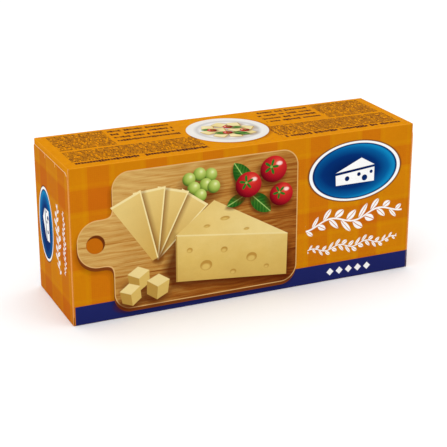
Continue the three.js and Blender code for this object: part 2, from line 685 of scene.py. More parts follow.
class InkTree:
    """The node tree of one material."""

    def __init__(self, name: str) -> None:
        """Starts a material with an empty node tree.

        Args:
            name: The material's name.
        """
        self.material = bpy.data.materials.new(name)
        self.material.use_nodes = True
        self.tree = self.material.node_tree
        self.tree.nodes.clear()

    def node(self, kind: str, settings: dict, sockets: dict) -> bpy.types.Node:
        """Adds one node.

        Args:
            kind: The node's type.
            settings: Its settings, which are set first; "stops" fills a colour ramp.
            sockets: The value or the link of each input, by name or number.

        Returns:
            The node.
        """
        node = self.tree.nodes.new(kind)
        for name, value in settings.items():
            if name == "stops":
                self._fill_ramp(node.color_ramp, value)
            else:
                setattr(node, name, value)
        for name, value in sockets.items():
            target = node.inputs[name]
            if isinstance(value, Reading):
                value = value.socket
            if isinstance(value, bpy.types.NodeSocket):
                self.tree.links.new(value, target)
            else:
                target.default_value = value
        return node

    def _fill_ramp(self, ramp: bpy.types.ColorRamp, stops: Stops) -> None:
        """Gives a colour ramp its stops.

        Args:
            ramp: The ramp, which starts with two.
            stops: The place and the colour of each.
        """
        while len(ramp.elements) < len(stops):
            ramp.elements.new(1.0)
        for element, (position, colour) in zip(ramp.elements, stops):
            element.position = position
            element.color = colour

    def math(self, operation: str, *values: "Reading | float", clamp: bool = False) -> "Reading":
        """Adds a Math node.

        Args:
            operation: What it does.
            values: The numbers that it does it to.
            clamp: Whether its result is kept between 0 and 1.

        Returns:
            Its result.
        """
        settings = {"operation": operation, "use_clamp": clamp}
        node = self.node("ShaderNodeMath", settings, dict(enumerate(values)))
        return Reading(self, node.outputs[0])

    def vector(self, operation: str, *values: object) -> bpy.types.NodeSocket:
        """Adds a Vector Math node whose result is a vector.

        Args:
            operation: What it does.
            values: The vectors and numbers that it does it to.

        Returns:
            Its result.
        """
        settings = {"operation": operation}
        return self.node("ShaderNodeVectorMath", settings, dict(enumerate(values))).outputs[0]

    def measured(self, operation: str, *values: object) -> "Reading":
        """Adds a Vector Math node whose result is a number.

        Args:
            operation: What it does.
            values: The vectors that it does it to.

        Returns:
            Its result.
        """
        settings = {"operation": operation}
        node = self.node("ShaderNodeVectorMath", settings, dict(enumerate(values)))
        return Reading(self, node.outputs[1])

    def place(self, x: "Reading", y: "Reading | float", z: float) -> bpy.types.NodeSocket:
        """A place from three numbers."""
        return self.node("ShaderNodeCombineXYZ", {}, {0: x, 1: y, 2: z}).outputs[0]

    def object_place(self) -> bpy.types.NodeSocket:
        """The place on the piece, in metres."""
        return self.node("ShaderNodeTexCoord", {}, {}).outputs["Object"]

    def ramp(self, value: "Reading", *stops: tuple[float, Ink]) -> bpy.types.NodeSocket:
        """Turns a number into a colour by a colour ramp."""
        return self.node("ShaderNodeValToRGB", {"stops": stops}, {"Fac": value}).outputs["Color"]

    def mix(
        self, share: "Reading | float", under: Colour, over: Colour, blend: str = "MIX"
    ) -> bpy.types.NodeSocket:
        """Lays one colour over another.

        Args:
            share: How much of the upper colour shows, from 0 to 1.
            under: The lower colour.
            over: The upper colour.
            blend: How the two blend.

        Returns:
            The colour.
        """
        settings = {"data_type": "RGBA", "blend_type": blend, "clamp_factor": True}
        node = self.node("ShaderNodeMix", settings, {0: share, 6: under, 7: over})
        return node.outputs[2]

    def speckle(
        self,
        place: bpy.types.NodeSocket,
        scale: float,
        detail: float = 2.0,
        rough: float = 0.5,
    ) -> "Reading":
        """A soft cloudy noise.

        Args:
            place: Where the noise is read.
            scale: Its fineness.
            detail: How many finer layers it has.
            rough: How strong the finer layers are.

        Returns:
            A number near 0.5.
        """
        sockets = {"Vector": place, "Scale": scale, "Detail": detail, "Roughness": rough}
        node = self.node("ShaderNodeTexNoise", {"noise_dimensions": "3D"}, sockets)
        return Reading(self, node.outputs["Fac"])

    def lot(self, first: "Reading", second: "Reading | float") -> "Reading":
        """Draws a random number from 0 to 1 for each pair of numbers.

        Args:
            first: One number.
            second: The other.

        Returns:
            The same number wherever both are the same.
        """
        sockets = {"Vector": self.place(first, second, 0.0)}
        node = self.node("ShaderNodeTexWhiteNoise", {"noise_dimensions": "2D"}, sockets)
        return Reading(self, node.outputs["Value"])

    def bump(self, height: "Reading", strength: float, distance: float) -> bpy.types.NodeSocket:
        """Turns a height into a dented normal.

        Args:
            height: The height, from 0 to 1.
            strength: How much of it shows.
            distance: How high 1 is, in metres.

        Returns:
            The normal.
        """
        sockets = {"Strength": strength, "Distance": distance, "Height": height}
        return self.node("ShaderNodeBump", {}, sockets).outputs[0]

    def finished(self, sockets: dict) -> bpy.types.Material:
        """Ends the tree in one shader.

        Args:
            sockets: The value or the link of each of the shader's inputs.

        Returns:
            The material.
        """
        shader = self.node("ShaderNodeBsdfPrincipled", {}, sockets)
        self.node("ShaderNodeOutputMaterial", {}, {"Surface": shader.outputs[0]})
        return self.material


@dataclass(frozen=True)
class Reading:
    """A number that varies over a surface, with Python's arithmetic."""

    tree: InkTree
    socket: bpy.types.NodeSocket

    def __add__(self, other: "Reading | float") -> "Reading":
        """The sum."""
        return self.tree.math("ADD", self, other)

    __radd__ = __add__

    def __mul__(self, other: "Reading | float") -> "Reading":
        """The product."""
        return self.tree.math("MULTIPLY", self, other)

    __rmul__ = __mul__

    def __sub__(self, other: "Reading | float") -> "Reading":
        """The difference."""
        return self.tree.math("SUBTRACT", self, other)

    def __rsub__(self, other: float) -> "Reading":
        """The difference, from a plain number."""
        return self.tree.math("SUBTRACT", other, self)

    def __truediv__(self, other: "Reading | float") -> "Reading":
        """The quotient."""
        return self.tree.math("DIVIDE", self, other)

    def __and__(self, other: "Reading") -> "Reading":
        """Where both shapes are."""
        return self.tree.math("MINIMUM", self, other)

    def __or__(self, other: "Reading") -> "Reading":
        """Where either shape is."""
        return self.tree.math("MAXIMUM", self, other)

    def __abs__(self) -> "Reading":
        """The size, without the sign."""
        return self.tree.math("ABSOLUTE", self)

    def joined(self, other: "Reading", reach: float) -> "Reading":
        """Where either shape is, with a rounded inner corner between them."""
        return self.tree.math("SMOOTH_MAX", self, other, reach)

    def fraction(self) -> "Reading":
        """The part after the point."""
        return self.tree.math("FRACT", self)

    def from_half(self) -> "Reading":
        """How far the part after the point is from one half: a repeating ramp up and down."""
        return abs(self.fraction() - 0.5)

    def whole(self) -> "Reading":
        """The part before the point."""
        return self.tree.math("FLOOR", self)

    def wave(self) -> "Reading":
        """The cosine, of an angle in radians."""
        return self.tree.math("COSINE", self)

    def cover(self, soft: float = 0.15) -> "Reading":
        """How much ink lies here: 1 well inside the shape, 0 outside, over a soft edge."""
        return self.tree.math("MULTIPLY_ADD", self, 1 / soft, 0.5, clamp=True)


# ---------------------------------------------------------------------------------------------
# Drawing
# ---------------------------------------------------------------------------------------------


@dataclass(frozen=True)
class Plane:
    """A flat place to draw on: points (x, y, 1) in millimetres, x to the right and y down.

    The third number makes every straight line one dot product. A shape is a Reading that is
    positive inside, and tells how deep inside in millimetres.
    """

    tree: InkTree
    point: bpy.types.NodeSocket

    @cached_property
    def split(self) -> bpy.types.Node:
        """The node that takes the point apart."""
        return self.tree.node("ShaderNodeSeparateXYZ", {}, {0: self.point})

    @property
    def x(self) -> Reading:
        """How far right the point is."""
        return Reading(self.tree, self.split.outputs[0])

    @property
    def y(self) -> Reading:
        """How far down the point is."""
        return Reading(self.tree, self.split.outputs[1])

    def moved(self, centre: Place, turn: float = 0.0, scale: float = 1.0) -> "Plane":
        """A plane of its own for a motif, with its origin at the motif's centre.

        Args:
            centre: The motif's centre on this plane.
            turn: How far the motif is turned clockwise, in degrees.
            scale: How much larger the motif is drawn.

        Returns:
            The motif's plane.
        """
        sockets = {
            "Vector": self.point,
            "Location": (*centre, 0.0),
            "Rotation": (0.0, 0.0, math.radians(turn)),
            "Scale": (scale, scale, 1.0),
        }
        node = self.tree.node("ShaderNodeMapping", {"vector_type": "TEXTURE"}, sockets)
        return Plane(self.tree, node.outputs[0])

    def mirrored(self, middle: float) -> "Plane":
        """The same plane, mirrored left to right across an upright line at the middle."""
        offset = (2 * middle, 0.0, 0.0)
        return Plane(self.tree, self.tree.vector("MULTIPLY_ADD", self.point, (-1.0, 1.0, 1.0), offset))

    def cloud(
        self, across: float, down: float, detail: float = 2.0, rough: float = 0.5, scale: float = 1.0
    ) -> Reading:
        """A cloudy noise that may be drawn out one way.

        Args:
            across: Its fineness from left to right, for each millimetre.
            down: Its fineness from top to bottom.
            detail: How many finer layers it has.
            rough: How strong the finer layers are.
            scale: How much finer the whole is.

        Returns:
            A number near 0.5.
        """
        stretched = self.tree.vector("MULTIPLY", self.point, (across, down, 1.0))
        return self.tree.speckle(stretched, scale, detail, rough)

    def half(self, normal: Place, through: Place) -> Reading:
        """The half plane on one side of a line.

        Args:
            normal: Points into the half plane.
            through: A point of the line.

        Returns:
            The shape.
        """
        size = math.hypot(*normal)
        nx, ny = normal[0] / size, normal[1] / size
        row = (nx, ny, -(nx * through[0] + ny * through[1]))
        return self.tree.measured("DOT_PRODUCT", self.point, row)

    def polygon(self, *corners: Place) -> Reading:
        """A convex polygon.

        Args:
            corners: Its corners, in order.

        Returns:
            The shape.
        """
        middle = [sum(corner[k] for corner in corners) / len(corners) for k in (0, 1)]
        shape = None
        for a, b in zip(corners, [*corners[1:], corners[0]]):
            normal = (a[1] - b[1], b[0] - a[0])
            if normal[0] * (middle[0] - a[0]) + normal[1] * (middle[1] - a[1]) < 0:
                normal = (-normal[0], -normal[1])
            side = self.half(normal, a)
            shape = side if shape is None else shape & side
        return shape

    def distance(self, centre: Place = (0.0, 0.0)) -> Reading:
        """How far a point is from the centre."""
        return self.tree.measured("DISTANCE", self.point, (*centre, 1.0))

    def disc(self, centre: Place, radius: float) -> Reading:
        """A round disc."""
        return radius - self.distance(centre)

    def oval_share(self, centre: Place, radii: Place) -> Reading:
        """How far out a point lies in an upright oval.

        Args:
            centre: The oval's centre.
            radii: Half its width and half its height.

        Returns:
            0 in the middle, 1 on the rim.
        """
        offset = self.tree.vector("SUBTRACT", self.point, (*centre, 1.0))
        scaled = self.tree.vector("MULTIPLY", offset, (1 / radii[0], 1 / radii[1], 1.0))
        return self.tree.measured("LENGTH", scaled)

    def oval(self, centre: Place, radii: Place) -> Reading:
        """An upright oval."""
        return (1 - self.oval_share(centre, radii)) * min(radii)

    def tile(self, low: Place, high: Place, radius: float = 0.3) -> Reading:
        """An upright rectangle with rounded corners.

        Args:
            low: Its top left corner.
            high: Its bottom right corner.
            radius: The radius of its corners.

        Returns:
            The shape.
        """
        centre = [(a + b) / 2 for a, b in zip(low, high)]
        half = [(b - a) / 2 - radius for a, b in zip(low, high)]
        offset = self.tree.vector("SUBTRACT", self.point, (*centre, 1.0))
        beyond = self.tree.vector("SUBTRACT", self.tree.vector("ABSOLUTE", offset), (*half, 0.0))
        outside = self.tree.vector("MAXIMUM", beyond, (0.0, 0.0, 0.0))
        return radius - self.tree.measured("LENGTH", outside)

    def leaf(self, base: Place, tip: Place, plump: float) -> Reading:
        """A pointed leaf: where two equal discs overlap.

        Args:
            base: One pointed end.
            tip: The other pointed end.
            plump: Its width over its length.

        Returns:
            The shape.
        """
        dx, dy = tip[0] - base[0], tip[1] - base[1]
        length = math.hypot(dx, dy)
        radius = length * (1 + plump * plump) / (4 * plump)
        shift = radius - length * plump / 2
        side = (-dy / length * shift, dx / length * shift)
        middle = ((base[0] + tip[0]) / 2, (base[1] + tip[1]) / 2)
        near = self.distance((middle[0] + side[0], middle[1] + side[1]))
        far = self.distance((middle[0] - side[0], middle[1] - side[1]))
        return radius - (near | far)


@dataclass
class Painter:
    """Lays one ink over another on a plane."""

    plane: Plane
    colour: Colour
    shadow: Colour | None = None  # what lies in the shadow of a motif

    @property
    def tree(self) -> InkTree:
        """The material's tree."""
        return self.plane.tree

    def lay(
        self,
        shape: Reading,
        colour: Colour,
        soft: float = 0.15,
        strength: float = 1.0,
        blend: str = "MIX",
    ) -> None:
        """Lays an ink.

        Args:
            shape: Where it goes.
            colour: The ink.
            soft: How soft its edge is, in millimetres.
            strength: How much it covers what is under it.
            blend: How it blends with what is under it.
        """
        share = shape.cover(soft)
        if strength < 1:
            share = share * strength
        self.shade(share, colour, blend)

    def shade(self, share: Reading, colour: Colour, blend: str = "MIX") -> None:
        """Blends a colour in by a share that is worked out already."""
        self.colour = self.tree.mix(share, self.colour, colour, blend)


# ---------------------------------------------------------------------------------------------
# The printed motifs
# ---------------------------------------------------------------------------------------------

WHITE = ink(250, 250, 249)
NAVY = ink(32, 38, 97)
TOP_ORANGE = ink(220, 139, 6)
PRINT_BROWN = ink(78, 32, 22)
WOOD_SHADE = ink(84, 28, 8)
CHEESE_TOP = ink(226, 196, 118)
CHEESE_FACE = ink(216, 182, 98)
CHEESE_LOW = ink(202, 162, 78)
CHEESE_EDGE = ink(240, 220, 156)
CHEESE_HOLE = ink(184, 140, 62)
CUT_SHADE = ink(120, 66, 22)

BAND_TOP = 71.9  # from the top of the carton down to the dark band along its foot


@dataclass(frozen=True)
class WovenCheck:
    """The ground of the front and the ends: a common woven check, tone on tone."""

    repeat: float = 30.0
    band: float = 11.0
    line: float = 1.7
    line_share: float = 0.28  # of the lightness
    first: Place = (15.5, 17.0)  # the middles of the first dark bands
    thread: float = 1.05

    def bands(self, along: Reading, first: float) -> Reading:
        """The bands and lines that cross one direction.

        Args:
            along: The place along that direction.
            first: The middle of the first dark band.

        Returns:
            How light the ground is, from 0 to 1.
        """
        off = ((along - first + self.repeat / 2) / self.repeat).from_half() * self.repeat
        light = (off - self.band / 2).cover(0.5)
        line = (self.line / 2 - abs(off - self.repeat / 4)).cover(0.5)
        return light * (1 - self.line_share) + line * self.line_share

    def draw(self, plane: Plane) -> bpy.types.NodeSocket:
        """Draws the check.

        Args:
            plane: The sheet's plane.

        Returns:
            The ground's colour.
        """
        check = (self.bands(plane.x, self.first[0]) + self.bands(plane.y, self.first[1])) * 0.5
        weft = (plane.y / self.thread).from_half()
        warp = (plane.x / self.thread).from_half()
        uneven = plane.cloud(0.5, 0.5, 4.0, 0.6)
        tone = check + (weft - warp) * (1.0 - check) * 0.35 + (uneven - 0.5) * 0.3
        return plane.tree.ramp(
            tone, (0.0, ink(196, 101, 15)), (0.5, ink(202, 118, 12)), (1.0, ink(208, 134, 10))
        )


@dataclass(frozen=True)
class ServingBoard:
    """A wooden serving board with a short handle and a hole to hang it by."""

    low: Place = (4.0, 5.0)
    high: Place = (105.0, 77.5)
    corner: float = 9.0
    handle_low: Place = (92.0, 28.0)
    handle_high: Place = (123.5, 53.0)
    handle_corner: float = 11.0
    hole: Place = (114.0, 40.5)
    hole_radius: float = 4.8
    thickness: float = 1.7
    stave: float = 18.2

    def outline(self, plane: Plane) -> Reading:
        """The board's outline."""
        body = plane.tile(self.low, self.high, self.corner)
        return body.joined(plane.tile(self.handle_low, self.handle_high, self.handle_corner), 7.0)

    def wood(self, plane: Plane) -> bpy.types.NodeSocket:
        """The wood: staves glued side by side, with long uneven grain.

        Args:
            plane: The sheet's plane.

        Returns:
            The wood's colour.
        """
        stave = (plane.y - self.low[1]) / self.stave
        lot = plane.tree.lot(stave.whole(), 3.0)
        drift = plane.cloud(0.017, 0.06)
        rings = (plane.y * 0.3 + drift * 7.0 + lot * 3.0).from_half()
        fibre = plane.cloud(0.07, 1.35, 5.0, 0.68)
        light = (plane.x * 0.0042 - plane.y * 0.0052) + 0.34
        joint = (stave.from_half() - 0.485).cover(0.012)
        tone = light + (fibre - 0.5) * 0.8 + rings * 0.34 + lot * 0.16 - joint * 0.22
        return plane.tree.ramp(
            tone,
            (0.05, ink(106, 44, 12)),
            (0.35, ink(152, 86, 28)),
            (0.6, ink(186, 132, 60)),
            (0.95, ink(214, 174, 102)),
        )

    def draw(self, painter: Painter) -> None:
        """Draws the board with its shadow, its edge and its hole.

        Args:
            painter: The painter of the sheet.
        """
        plane = painter.plane
        cast = self.outline(plane.moved((1.0, 2.6)))
        painter.lay(cast, ink(136, 122, 116), soft=3.6, strength=0.62, blend="MULTIPLY")
        painter.lay(self.outline(plane.moved((0.3, self.thickness))), ink(122, 60, 20))
        outline = self.outline(plane)
        painter.lay(outline, ink(222, 176, 110))
        painter.lay(outline - 0.5, self.wood(plane), soft=0.3)
        hole = plane.disc(self.hole, self.hole_radius)
        painter.lay(hole, ink(104, 48, 14), soft=0.3)
        floor = plane.disc((self.hole[0] + 0.9, self.hole[1] + 1.2), self.hole_radius - 0.2)
        painter.lay(floor & hole, ink(190, 102, 12), soft=0.5)


@dataclass(frozen=True)
class CheeseWedge:
    """A pointed wedge of cheese that lies on its side, with a few holes."""

    tip: Place = (9.5, 50.5)
    corner: Place = (72.0, 42.5)
    back: Place = (51.0, 26.5)
    height: float = 24.0
    # The place and the two radii of each hole
    holes: tuple[tuple[float, float, float, float], ...] = (
        (30.0, 60.5, 3.0, 2.5),
        (45.5, 54.0, 1.9, 1.6),
        (55.5, 61.0, 3.3, 2.8),
        (21.5, 67.0, 1.5, 1.2),
        (40.5, 67.0, 1.8, 1.5),
        (64.5, 51.5, 1.6, 1.4),
        (45.0, 37.0, 2.6, 1.1),
        (55.0, 39.8, 1.7, 0.8),
        (33.0, 44.5, 1.5, 0.7),
    )

    def draw(self, painter: Painter) -> None:
        """Draws the wedge with its shadow.

        Args:
            painter: The painter of the sheet.
        """
        plane, tree = painter.plane, painter.tree
        foot = (self.tip[0] + 0.4, self.tip[1] + self.height - 1.0)
        toe = (self.corner[0], self.corner[1] + self.height + 1.0)
        shadow = plane.polygon(
            (self.tip[0] - 1, self.tip[1] + 6),
            self.corner,
            (toe[0] + 7, toe[1] - 6),
            (toe[0] + 3, toe[1] + 3),
            (foot[0] - 1, foot[1] + 3),
        )
        painter.lay(shadow, painter.shadow, soft=4.5, strength=0.85)
        front = plane.polygon(self.tip, self.corner, toe, foot)
        depth = (plane.y - self.corner[1] + (plane.x - self.corner[0]) * 0.11) / 34.0
        mottle = (plane.cloud(0.12, 0.16, 4.0, 0.6) - 0.5) * 0.5
        face = tree.ramp(depth + mottle, (0.0, CHEESE_TOP), (0.4, CHEESE_FACE), (1.0, CHEESE_LOW))
        painter.lay(front, face)
        top = plane.polygon(self.tip, self.corner, self.back)
        lit = (plane.x - self.tip[0]) / 60.0 + mottle
        painter.lay(top, tree.ramp(lit, (0.1, ink(236, 212, 142)), (0.9, ink(224, 192, 112))))
        for x, y, wide, high in self.holes:
            painter.lay(plane.oval((x, y), (wide, high)), CHEESE_HOLE, soft=0.4)
            floor = plane.oval((x + 0.2, y + high * 0.3), (wide * 0.7, high * 0.6))
            painter.lay(floor, CHEESE_FACE, soft=0.9)
        along = (self.corner[1] - self.tip[1], self.corner[0] - self.tip[0])
        ridge = 0.35 - abs(plane.half((-along[0], along[1]), self.tip))
        painter.lay(ridge & (front | top), CHEESE_EDGE, soft=0.3)
        rim = 0.3 - abs(plane.half((1.0, 0.0), (self.corner[0] - 0.4, 0.0)))
        painter.lay(rim & front, ink(176, 134, 62), soft=0.4)


@dataclass(frozen=True)
class Motif:
    """A motif that is drawn about its own centre."""

    centre: Place = (0.0, 0.0)
    turn: float = 0.0  # clockwise, in degrees
    scale: float = 1.0

    def own_plane(self, painter: Painter) -> Plane:
        """The painter's plane, moved, turned and scaled with the motif."""
        return painter.plane.moved(self.centre, self.turn, self.scale)


@dataclass(frozen=True)
class CheeseFan(Motif):
    """Thin three-cornered slices, spread like a hand of cards."""

    length: float = 37.0
    half_width: float = 8.6
    half_tip: float = 1.7
    turns: tuple[float, ...] = (-36.0, -16.0, 4.0, 24.0)

    def draw(self, painter: Painter) -> None:
        """Draws the slices, each over the one before it.

        Args:
            painter: The painter of the sheet.
        """
        corners = (
            (-self.half_tip, 0.0),
            (-self.half_width, -self.length),
            (self.half_width, -self.length),
            (self.half_tip, 0.0),
        )
        for turn in self.turns:
            plane = self.own_plane(painter).moved((0.0, 0.0), turn)
            cast = plane.moved((-1.4, 1.4)).polygon(*corners)
            painter.lay(cast, CUT_SHADE, soft=3.0, strength=0.75)
            piece = plane.polygon(*corners)
            shine = plane.y / -self.length + plane.x * 0.02
            tone = painter.tree.ramp(shine, (0.1, ink(206, 166, 84)), (0.95, ink(226, 196, 120)))
            painter.lay(piece, tone)
            thick = plane.half((0.0, -1.0), (0.0, 1.2 - self.length))
            painter.lay(thick & piece, ink(240, 220, 158), soft=0.2)
            cut = plane.half((self.length, self.half_tip - self.half_width), corners[0])
            painter.lay((0.7 - abs(cut)) & piece, ink(242, 222, 160), soft=0.2)


@dataclass(frozen=True)
class CheeseCube(Motif):
    """One small cube of cheese, with its top and two of its sides in view."""

    half_width: float = 5.8
    slant: float = 3.2  # how much lower a corner of the top lies than the one behind it
    taper: float = 0.4  # how much narrower the foot looks

    def draw(self, painter: Painter) -> None:
        """Draws the cube with its shadow.

        Args:
            painter: The painter of the sheet.
        """
        plane = self.own_plane(painter)
        painter.lay(plane.oval((1.6, 4.6), (7.4, 4.0)), painter.shadow, soft=3.0, strength=0.8)
        back = (0.0, -2 * self.slant)
        right, left = (self.half_width, -self.slant), (-self.half_width, -self.slant)
        foot_x, foot_y = self.half_width - self.taper, self.slant + self.taper
        front = (0.0, foot_y + self.slant)
        body = plane.polygon(back, right, (foot_x, foot_y), front, (-foot_x, foot_y), left)
        painter.lay(body, ink(184, 144, 66))
        painter.lay(plane.half((-1.0, 0.0), (0.0, 0.0)) & body, CHEESE_FACE)
        top = plane.polygon(back, right, (0.0, 0.2), left) & body
        painter.lay(top, ink(238, 214, 146), soft=0.3)


@dataclass(frozen=True)
class CherryTomato(Motif):
    """A whole cherry tomato with its green calyx."""

    radii: Place = (7.2, 6.8)
    stalk_place: Place = (1.2, -1.2)
    stalk_radius: float = 0.7
    sepal: float = 3.3

    def draw(self, painter: Painter) -> None:
        """Draws the tomato with its shadow and its shine. Its turn turns only the calyx.

        Args:
            painter: The painter of the sheet.
        """
        tree = painter.tree
        plane = painter.plane.moved(self.centre, 0.0, self.scale)
        painter.lay(plane.oval((1.4, 2.4), (7.8, 6.8)), painter.shadow, soft=3.4, strength=0.8)
        red = tree.ramp(
            plane.distance((-2.0, -2.8)) / 10.0,
            (0.0, ink(232, 92, 70)),
            (0.3, ink(204, 44, 40)),
            (0.72, ink(166, 20, 34)),
            (1.0, ink(92, 8, 18)),
        )
        painter.lay(plane.oval((0.0, 0.0), self.radii), red)
        painter.lay(plane.oval((-3.1, -2.6), (1.5, 1.0)), ink(255, 232, 222), soft=0.7, strength=0.85)
        stalk = plane.moved(self.stalk_place, self.turn)
        angle = tree.math("ARCTAN2", stalk.y, stalk.x)
        star = tree.math("POWER", abs((angle * 2.5).wave()), 2.2)
        calyx = star * self.sepal + self.stalk_radius - stalk.distance()
        painter.lay(calyx, ink(46, 112, 34), soft=0.4)
        painter.lay(stalk.disc((0.0, 0.0), self.stalk_radius), ink(150, 176, 84), soft=0.3)


@dataclass(frozen=True)
class BasilLeaf:
    """A green leaf with a pale midrib and side veins."""

    base: Place
    tip: Place
    plump: float = 0.55  # its width over its length

    def draw(self, painter: Painter) -> None:
        """Draws the leaf with its shadow.

        Args:
            painter: The painter of the sheet.
        """
        dx, dy = self.tip[0] - self.base[0], self.tip[1] - self.base[1]
        plane = painter.plane.moved(self.base, math.degrees(math.atan2(dy, dx)))
        leaf = plane.leaf((0.0, 0.0), (math.hypot(dx, dy), 0.0), self.plump)
        cast = painter.plane.moved((0.8, 1.3)).leaf(self.base, self.tip, self.plump)
        painter.lay(cast, painter.shadow, soft=1.6, strength=0.7)
        across = abs(plane.y)
        veins = ((plane.x - across * 0.9) / 2.3).from_half()
        green = painter.tree.ramp(
            veins * 0.9 + across * 0.12 + plane.y * 0.05 + 0.15,
            (0.0, ink(112, 158, 60)),
            (0.3, ink(58, 116, 36)),
            (0.8, ink(30, 84, 26)),
        )
        painter.lay(leaf, green, soft=0.2)
        painter.lay((0.22 - across) & leaf, ink(166, 196, 108), soft=0.2)


@dataclass(frozen=True)
class Grapes(Motif):
    """A small bunch of pale green grapes."""

    radius: float = 3.5
    berries: tuple[Place, ...] = (
        (-5.2, -4.2),
        (0.9, -5.2),
        (6.6, -3.2),
        (-2.4, 0.8),
        (4.0, 1.8),
        (-6.8, 2.2),
        (0.6, 6.0),
    )

    def draw(self, painter: Painter) -> None:
        """Draws the bunch, berry by berry.

        Args:
            painter: The painter of the sheet.
        """
        plane = self.own_plane(painter)
        painter.lay(plane.oval((0.8, 3.0), (11.0, 8.8)), painter.shadow, soft=5.0, strength=0.7)
        for x, y in self.berries:
            green = painter.tree.ramp(
                plane.distance((x - 1.0, y - 1.3)) / 4.8,
                (0.0, ink(232, 238, 178)),
                (0.25, ink(190, 206, 108)),
                (0.7, ink(140, 166, 64)),
                (1.0, ink(72, 100, 32)),
            )
            painter.lay(plane.disc((x, y), self.radius), green, soft=0.25)


@dataclass(frozen=True)
class WedgeBadge(Motif):
    """An oval badge in blues with a white rim, and a plain sign for cheese inside it."""

    radii: Place = (27.0, 16.2)
    sign_scale: float = 0.72
    # The place and the radius of each hole
    holes: tuple[tuple[float, float, float], ...] = (
        (-6.5, 4.6, 1.9),
        (3.2, 2.4, 1.5),
        (8.0, 5.6, 2.3),
        (13.4, 1.6, 1.3),
    )

    def draw(self, painter: Painter) -> None:
        """Draws the badge.

        Args:
            painter: The painter of the sheet.
        """
        plane = self.own_plane(painter)
        share = plane.oval_share((0.0, 0.0), self.radii)
        rim = (1 - share) * self.radii[1]
        painter.lay(rim + 0.5, ink(60, 28, 30), soft=0.7, strength=0.85)
        painter.lay(rim, WHITE)
        painter.lay(rim - 1.1, ink(12, 30, 88), soft=0.2)
        blue = painter.tree.ramp(
            share + plane.x * 0.006 + abs(plane.y) * 0.006,
            (0.2, ink(6, 26, 80)),
            (0.6, ink(6, 48, 112)),
            (0.86, ink(8, 92, 154)),
            (1.0, ink(16, 132, 188)),
        )
        painter.lay(rim - 1.7, blue, soft=0.5)
        sign = plane.moved((0.0, 0.4), 0.0, self.sign_scale)
        top = sign.polygon((-16.0, -0.6), (5.0, -10.0), (16.0, -3.6))
        front = sign.polygon((-16.0, 1.4), (16.0, -1.8), (16.0, 9.0), (-15.6, 9.0))
        for x, y, radius in self.holes:
            front = front & (sign.distance((x, y)) - radius)
        painter.lay(top | front, WHITE)


@dataclass(frozen=True)
class LeafSprig(Motif):
    """A trailing sprig in white: a waving stem with leaves on both its sides."""

    length: float = 58.0
    wave: float = 29.0
    swing: float = 2.0
    pitch: float = 7.2
    stem: float = 0.9
    leaf_base: Place = (-2.9, 0.4)
    leaf_tip: Place = (2.9, 6.0)
    plump: float = 0.42
    vein: float = 0.4

    def draw(self, painter: Painter) -> None:
        """Draws the sprig.

        Args:
            painter: The painter of the sheet.
        """
        tree, plane = painter.tree, self.own_plane(painter)
        off = plane.y - (plane.x * (2 * math.pi / self.wave)).wave() * self.swing
        side = tree.math("SIGN", off)
        reach = abs(plane.x) * (2 / self.length)
        taper = 1.0 - reach * reach * 0.45
        step = ((plane.x / self.pitch + side * 0.25).fraction() - 0.5) * self.pitch
        cell = Plane(tree, tree.place(step / taper, abs(off) / taper, 1.0))
        base, tip = self.leaf_base, self.leaf_tip
        midrib = cell.half((tip[1] - base[1], base[0] - tip[0]), base)
        blade = cell.leaf(base, tip, self.plump) & (abs(midrib) - self.vein / 2)
        stem = self.stem / 2 - abs(off)
        ends = (1.0 - reach) * (self.length / 2)
        painter.lay((blade | stem) & ends, WHITE, soft=0.2)


@dataclass(frozen=True)
class LozengeRow(Motif):
    """A row of small white lozenges in the band."""

    count: int = 5
    pitch: float = 5.6
    half: float = 2.1

    def draw(self, painter: Painter) -> None:
        """Draws the row.

        Args:
            painter: The painter of the sheet.
        """
        plane = self.own_plane(painter)
        step = (plane.x / self.pitch + 0.5).from_half() * (self.pitch / self.half)
        lozenge = 1 - (step + abs(plane.y) / self.half)
        ends = self.count * self.pitch / 2 - abs(plane.x)
        painter.lay(lozenge & ends, WHITE, soft=0.12)


class PrintSize(Enum):
    """A size of print: its row pitch, bar height and cell width, and how broken its bars are."""

    FINE = (2.1, 1.3, 0.8, 1.0)
    TABLE = (4.2, 1.4, 1.1, 1.0)
    BOLD = (5.6, 2.3, 1.5, 0.45)
    FOOT = (3.6, 2.9, 1.5, 0.45)


@dataclass(frozen=True)
class PrintRows:
    """Rows of small bars, broken up by a fine noise, where a pack has its fine print."""

    left: float
    top: float
    width: float
    rows: int
    size: PrintSize = PrintSize.FINE
    low_share: float = 0.72  # of the bars; the others are taller
    gap_share: float = 0.13  # of the cells

    def draw(self, painter: Painter) -> None:
        """Draws the rows.

        Args:
            painter: The painter of the sheet.
        """
        plane = painter.plane
        pitch, high, wide, broken = self.size.value
        row = (plane.y - self.top) / pitch
        cell = plane.x / wide
        lot = painter.tree.lot(cell.whole(), row.whole() + self.left)
        tall = (lot - self.low_share).cover(0.02)
        bar = high * 0.42 + tall * (high * 0.22) - row.from_half() * pitch
        gap = (0.45 - cell.from_half()) * wide
        block = plane.tile(
            (self.left, self.top), (self.left + self.width, self.top + self.rows * pitch)
        )
        words = (bar & gap & block).cover(0.2) * (lot - self.gap_share).cover(0.02)
        crumbs = (0.4 - plane.cloud(1 / wide, 0.7 / wide, 1.0, scale=1.5)).cover(0.08)
        painter.shade(words * (1.0 - crumbs * broken), PRINT_BROWN)


